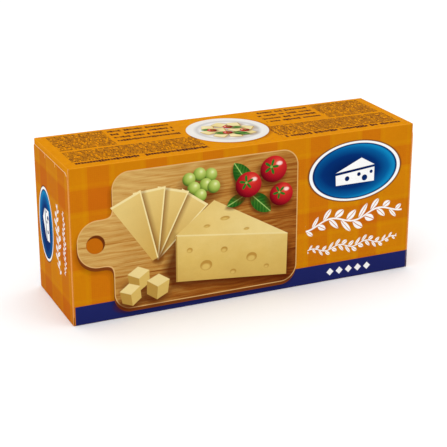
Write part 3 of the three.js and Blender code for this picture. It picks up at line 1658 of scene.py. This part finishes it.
@dataclass(frozen=True)
class ServedPlate(Motif):
    """A round white plate of diced cheese, cherry tomatoes and leaves, seen from above."""

    radius: float = 21.6
    well: float = 15.6
    half_dice: float = 3.3
    # The place and the turn of each piece of cheese
    dice: tuple[tuple[float, float, float], ...] = (
        (-8.0, -7.2, 20.0),
        (-0.6, -9.6, 55.0),
        (7.0, -7.6, 8.0),
        (-10.8, 0.4, 70.0),
        (11.0, 0.2, 38.0),
        (-3.8, -1.6, 12.0),
        (4.2, 0.8, 62.0),
        (-6.8, 7.4, 44.0),
        (0.6, 9.6, 15.0),
        (8.4, 7.6, 75.0),
    )
    # The base and the tip of each leaf
    leaves: tuple[tuple[Place, Place], ...] = (
        ((1.0, -4.0), (9.5, -2.0)),
        ((-9.0, 3.0), (-1.0, 4.6)),
        ((0.0, 4.0), (8.0, 11.5)),
        ((-6.0, -3.4), (-13.0, -5.0)),
    )
    tomatoes: tuple[Place, ...] = ((2.4, -5.2), (-1.6, 4.2), (8.2, 3.6), (-7.6, -2.6))

    def draw(self, painter: Painter) -> None:
        """Draws the plate and what is on it.

        Args:
            painter: The painter of the sheet.
        """
        plane = self.own_plane(painter)
        plate = Painter(plane, painter.colour, ink(150, 116, 76))
        plate.lay(plane.disc((0.7, 0.9), self.radius + 0.5), ink(138, 66, 4), soft=2.4, strength=0.6)
        plate.lay(plane.disc((0.0, 0.0), self.radius), ink(232, 228, 222))
        slope = 1.1 - abs(plane.distance() - self.well - 0.4)
        plate.lay(slope, ink(176, 172, 170), soft=1.8, strength=0.55)
        lump = plane.cloud(0.16, 0.16, 3.0)
        cheese = plate.tree.ramp(lump, (0.35, ink(226, 204, 136)), (0.65, ink(240, 226, 172)))
        half, edge = self.half_dice, 0.6
        for x, y, turn in self.dice:
            piece = plane.moved((x, y), turn)
            plate.lay(plane.disc((x + 0.7, y + 1.0), 4.4), plate.shadow, soft=2.6, strength=0.6)
            plate.lay(piece.tile((-half, -half), (half, half), edge), ink(188, 152, 82), soft=0.2)
            plate.lay(piece.tile((-half, -half), (half - edge, half - edge), edge), cheese, soft=0.3)
        for base, tip in self.leaves:
            BasilLeaf(base, tip, 0.5).draw(plate)
        for place in self.tomatoes:
            CherryTomato(place, 0.0, 0.36).draw(plate)
        painter.colour = plate.colour


# ---------------------------------------------------------------------------------------------
# Finishes
# ---------------------------------------------------------------------------------------------


@dataclass(frozen=True)
class SatinVarnish:
    """The finish of the printed side: a thin satin varnish over ink on coated board."""

    roughness: float = 0.44
    unevenness: float = 0.16  # of the roughness
    specular: float = 0.002
    grain: float = 0.16  # how much of the board's grain shows through
    grain_height: float = 0.00006
    wear: float = 0.22  # how much of the ink is gone along a fold
    solid: Ink = ink(238, 238, 238)  # where the ink lies thickest
    thin: Ink = ink(230, 230, 230)
    worn: Ink = ink(232, 168, 74)

    def finish(self, tree: InkTree, colour: Colour) -> bpy.types.Material:
        """Adds the wear of the folds, the varnish and the board's fine grain to a print.

        Args:
            tree: The material's tree.
            colour: The print's colour.

        Returns:
            The material.
        """
        place = tree.object_place()
        attribute = tree.node("ShaderNodeAttribute", {"attribute_name": CREASE_MARK}, {})
        crease = Reading(tree, attribute.outputs["Fac"])
        fibre = tree.speckle(place, 2600.0, 3.0, 0.6)
        cracked = (crease - 0.8 + (fibre - 0.5) * 1.3).cover(0.4) * self.wear
        cloud = tree.speckle(place, 60.0, 3.0, 0.55)
        density = tree.ramp(cloud * 0.6 + fibre * 0.4, (0.35, self.thin), (0.65, self.solid))
        printed = tree.mix(1.0, colour, density, "MULTIPLY")
        grain = tree.speckle(place, 1500.0, 4.0, 0.6) + fibre * 0.4
        return tree.finished(
            {
                "Base Color": tree.mix(cracked, printed, self.worn),
                "Roughness": self.roughness + (cloud - 0.5) * self.unevenness + cracked * 0.3,
                "Specular IOR Level": self.specular,
                "Normal": tree.bump(grain, self.grain, self.grain_height),
            }
        )


@dataclass(frozen=True)
class BareBoard:
    """The unprinted side and the cut edges: pale folding board.

    Beside the corner folds the print's ink has bled over the cut edges of the flaps, and so has the
    band's, at the right end of the front and of the back.
    """

    sizes: CartonSizes
    bled_reach: Place = (1.1, 1.4)  # from the ends and from the sides of the carton
    bled_edge: float = 0.0002
    bled_share: float = 0.85
    bled: Ink = ink(206, 124, 30)
    roughness: float = 0.85
    specular: float = 0.1
    fibre: float = 0.4  # how much of the bare fibre shows
    fibre_height: float = 0.0001

    def bleeding(self, tree: InkTree) -> tuple[Reading, bpy.types.NodeSocket]:
        """The ink that has bled over the cut edges.

        Args:
            tree: The material's tree.

        Returns:
            Where it lies, and its colour.
        """
        split = tree.node("ShaderNodeSeparateXYZ", {}, {0: tree.object_place()})
        along, across, high = (Reading(tree, socket) for socket in split.outputs)
        end = (self.sizes.length / 2 - self.bled_reach[0]) * MM
        side = (self.sizes.depth / 2 - self.bled_reach[1]) * MM
        beside = ((abs(along) - end) & (abs(across) - side)).cover(self.bled_edge)
        low = (self.sizes.height - BAND_TOP) * MM - high
        right_end = along * across * -10.0  # above 0 at the front right and at the back left
        dark = (low & right_end).cover(self.bled_edge)
        return beside * self.bled_share, tree.mix(dark, self.bled, NAVY)

    def material(self) -> bpy.types.Material:
        """Makes the finish.

        Returns:
            The material.
        """
        tree = InkTree("bare_board")
        fleck = tree.speckle(tree.object_place(), 1400.0, 4.0, 0.65)
        clean = tree.ramp(
            fleck, (0.32, ink(204, 170, 120)), (0.52, ink(236, 210, 168)), (0.7, ink(246, 228, 198))
        )
        share, bled = self.bleeding(tree)
        return tree.finished(
            {
                "Base Color": tree.mix(share, clean, bled),
                "Roughness": self.roughness,
                "Specular IOR Level": self.specular,
                "Normal": tree.bump(fleck, self.fibre, self.fibre_height),
            }
        )


@dataclass
class PanelPrint:
    """The print of one panel."""

    name: str

    @cached_property
    def tree(self) -> InkTree:
        """The material's tree."""
        return InkTree(self.name)

    @cached_property
    def plane(self) -> Plane:
        """The sheet's plane.

        Returns:
            The plane, with its origin at the top left corner of the print.
        """
        layer = self.tree.node("ShaderNodeUVMap", {"uv_map": PRINT_MAP}, {})
        scale = (1 / MM, 1 / MM, 0.0)
        point = self.tree.vector("MULTIPLY_ADD", layer.outputs[0], scale, (0.0, 0.0, 1.0))
        return Plane(self.tree, point)

    def plain(self) -> bpy.types.NodeSocket:
        """The plain orange ground of the top and the bottom, a little uneven."""
        cloud = self.plane.cloud(0.35, 0.35, 4.0)
        return self.tree.ramp(cloud, (0.3, ink(216, 134, 4)), (0.7, ink(224, 145, 7)))

    def artwork(self) -> Colour:
        """The print's colour: the plain ground, until a panel draws its own."""
        return self.plain()

    def material(self) -> bpy.types.Material:
        """Draws the print and varnishes it."""
        return SatinVarnish().finish(self.tree, self.artwork())


@dataclass
class FrontPrint(PanelPrint):
    """The print of the front and back panels: a serving board of cheese, a badge and two sprigs."""

    band_left: float = 1.3  # where the dark band starts
    top_ink: float = 0.5  # how far the orange of the top runs down over its fold
    board_middle: float = 63.5  # the board is drawn mirrored about this upright line

    def artwork(self) -> Colour:
        """Draws the panel.

        Returns:
            The print's colour.
        """
        plane = self.plane
        ground = Painter(plane, WovenCheck().draw(plane))
        ground.lay(plane.half((0.0, 1.0), (0.0, BAND_TOP)) & (plane.x - self.band_left), NAVY)
        ground.lay(plane.half((0.0, -1.0), (0.0, self.top_ink)), TOP_ORANGE, soft=0.5)
        painter = Painter(plane.mirrored(self.board_middle), ground.colour, WOOD_SHADE)
        food = (
            ServingBoard(),
            Grapes((58.0, 17.0)),
            CheeseFan((83.0, 53.0)),
            CheeseWedge(),
            BasilLeaf((31.0, 26.0), (19.5, 37.0)),
            BasilLeaf((33.0, 26.0), (44.0, 31.0), 0.5),
            BasilLeaf((30.0, 24.0), (40.0, 8.5), 0.5),
            CherryTomato((13.5, 28.5), 10.0, 0.92),
            CherryTomato((18.0, 14.5), 36.0, 1.04),
            CherryTomato((32.0, 21.0), -14.0),
            CheeseCube((92.0, 62.0), 4.0),
            CheeseCube((82.0, 68.0), -5.0, 1.05),
            CheeseCube((96.5, 70.0), 8.0, 0.95),
        )
        for motif in food:
            motif.draw(painter)
        painter.plane = plane
        signs = (
            WedgeBadge((156.5, 21.9)),
            LeafSprig((157.0, 47.6), -4.0),
            LeafSprig((156.5, 63.2), 0.0, 0.56, length=54.0 / 0.56),
            LozengeRow((154.5, 76.9)),
        )
        for motif in signs:
            motif.draw(painter)
        return painter.colour


class EndPrint(PanelPrint):
    """The outer end flaps' print: the badge and the sprigs again, turned upright."""

    def artwork(self) -> Colour:
        """Draws the flap.

        Returns:
            The print's colour.
        """
        painter = Painter(self.plane, WovenCheck().draw(self.plane))
        WedgeBadge((16.2, 41.5), -90.0, 0.74).draw(painter)
        LeafSprig((36.0, 42.5), -90.0, 0.64).draw(painter)
        LeafSprig((46.6, 41.5), -90.0, 0.36, length=34.0 / 0.36).draw(painter)
        return painter.colour


class TopPrint(PanelPrint):
    """The top panel's print: a served plate between two fields of fine print."""

    def artwork(self) -> Colour:
        """Draws the panel.

        Returns:
            The print's colour.
        """
        painter = Painter(self.plane, self.plain())
        blocks = (
            PrintRows(5.5, 3.0, 30.0, 12),
            PrintRows(37.5, 3.0, 34.0, 4, PrintSize.BOLD),
            PrintRows(5.5, 30.4, 70.0, 8),
            PrintRows(5.5, 48.0, 70.0, 1, PrintSize.FOOT),
            PrintRows(121.0, 3.0, 32.0, 4, PrintSize.BOLD),
            PrintRows(155.5, 3.0, 30.0, 12),
            PrintRows(116.0, 30.4, 70.0, 8),
            PrintRows(116.0, 48.0, 70.0, 1, PrintSize.FOOT),
        )
        for block in blocks:
            block.draw(painter)
        ServedPlate((96.0, 27.4)).draw(painter)
        return painter.colour


@dataclass
class BottomPrint(PanelPrint):
    """The bottom panel's print: fine print beside a ruled white table."""

    table_low: Place = (114.0, 6.0)
    table_high: Place = (182.0, 48.0)
    column_rule: float = 156.0

    def artwork(self) -> Colour:
        """Draws the panel.

        Returns:
            The print's colour.
        """
        plane = self.plane
        painter = Painter(plane, self.plain())
        for left in (8.0, 60.0):
            PrintRows(left, 7.0, 46.0, 19).draw(painter)
        table = plane.tile(self.table_low, self.table_high, 1.0)
        painter.lay(table, ink(246, 240, 228))
        top = self.table_low[1]
        pitch = PrintSize.TABLE.value[0]
        row_rule = (((plane.y - top) / pitch).from_half() - 0.46) * pitch
        column_rule = 0.15 - abs(plane.x - self.column_rule)
        for rule in (row_rule, column_rule):
            painter.lay(rule & (table - 0.8), PRINT_BROWN, soft=0.1)
        for left, width in ((118.0, 30.0), (160.0, 18.0)):
            PrintRows(left, top, width, 10, PrintSize.TABLE).draw(painter)
        return painter.colour


# ---------------------------------------------------------------------------------------------
# Studio
# ---------------------------------------------------------------------------------------------


def looking(direction: Vector) -> Euler:
    """The turn of a camera or a lamp that looks in a direction."""
    return direction.to_track_quat("-Z", "Y").to_euler()


@dataclass(frozen=True)
class PhotoCamera:
    """The photograph's camera, solved from the outline's corners."""

    azimuth: float = -23.953
    elevation: float = 20.637
    distance: float = 0.67216
    aim: tuple[float, float, float] = (-0.01297, -0.02474, 0.04084)
    lens: float = 106.33
    sensor: float = 36.0
    clip: float = 0.01

    def build(self) -> None:
        """Puts the camera in the scene."""
        turn, rise = math.radians(self.azimuth), math.radians(self.elevation)
        back = Vector(
            (math.sin(turn) * math.cos(rise), -math.cos(turn) * math.cos(rise), math.sin(rise))
        )
        data = bpy.data.cameras.new("photo_camera")
        data.lens = self.lens
        data.sensor_width = self.sensor
        data.clip_start = self.clip
        camera = placed("photo_camera", data)
        camera.location = Vector(self.aim) + back * self.distance
        camera.rotation_euler = looking(-back)
        bpy.context.scene.camera = camera


@dataclass(frozen=True)
class Softbox:
    """A large soft light, aimed at the carton."""

    name: str
    place: tuple[float, float, float]
    size: float
    power: float
    aim: tuple[float, float, float] = (0.0, 0.0, 0.04)

    def build(self) -> None:
        """Puts the light in the scene."""
        data = bpy.data.lights.new(self.name, "AREA")
        data.shape = "SQUARE"
        data.size = self.size
        data.energy = self.power
        lamp = placed(self.name, data)
        lamp.location = self.place
        lamp.rotation_euler = looking(Vector(self.aim) - Vector(self.place))


@dataclass(frozen=True)
class Studio:
    """The pale floor, the soft lights and the sky of a packshot."""

    floor_size: float = 12.0
    floor_gap: float = 0.00005  # from the floor up to the carton
    sky: float = 1.0
    boxes: Sequence[Softbox] = (
        Softbox("key_light", (-0.9, -1.5, 1.5), 1.2, 8.0),
        Softbox("fill_light", (1.3, -1.4, 0.9), 1.2, 3.0),
        Softbox("side_light", (-1.8, -0.3, 0.9), 1.2, 3.5),
        Softbox("top_light", (0.2, 0.3, 1.8), 1.4, 5.0),
    )

    def floor(self) -> None:
        """Lays the floor just under the carton."""
        sheet = bmesh.new()
        bmesh.ops.create_grid(sheet, x_segments=1, y_segments=1, size=self.floor_size / 2)
        bmesh.ops.translate(sheet, verts=sheet.verts, vec=(0, 0, -self.floor_gap))
        mesh = bpy.data.meshes.new("floor")
        sheet.to_mesh(mesh)
        sheet.free()
        tree = InkTree("floor_paper")
        cloud = tree.speckle(tree.object_place(), 3.0)
        colour = tree.ramp(cloud, (0.3, ink(243, 243, 243)), (0.7, ink(247, 247, 247)))
        paper = {"Base Color": colour, "Roughness": 0.9, "Specular IOR Level": 0.1}
        mesh.materials.append(tree.finished(paper))
        placed("floor", mesh)

    def light(self) -> None:
        """Sets the sky and the soft lights."""
        scene = bpy.context.scene
        world = bpy.data.worlds.new("studio_sky")
        world.use_nodes = True
        background = world.node_tree.nodes["Background"]
        background.inputs["Color"].default_value = (1.0, 1.0, 1.0, 1.0)
        background.inputs["Strength"].default_value = self.sky
        scene.world = world
        scene.view_settings.view_transform = "Standard"
        for box in self.boxes:
            box.build()

    def build(self) -> None:
        """Builds the studio."""
        PhotoCamera().build()
        self.floor()
        self.light()


def main() -> None:
    """Builds the studio and the carton, and reports each piece's count of faces."""
    logging.basicConfig(level=logging.INFO, format="%(name)s: %(message)s")
    Studio().build()
    sizes = sizes_from_box()
    front = FrontPrint("front_print").material()
    end = EndPrint("end_print").material()
    prints = {
        Side.FRONT: front,
        Side.BACK: front,
        Side.TOP: TopPrint("top_print").material(),
        Side.BOTTOM: BottomPrint("bottom_print").material(),
        Side.LEFT: end,
        Side.RIGHT: end,
    }
    for piece in Carton(sizes, prints, BareBoard(sizes).material()).build():
        log.info("%s: %d faces", piece.name, len(piece.data.polygons))


if __name__ == "__main__":
    main()
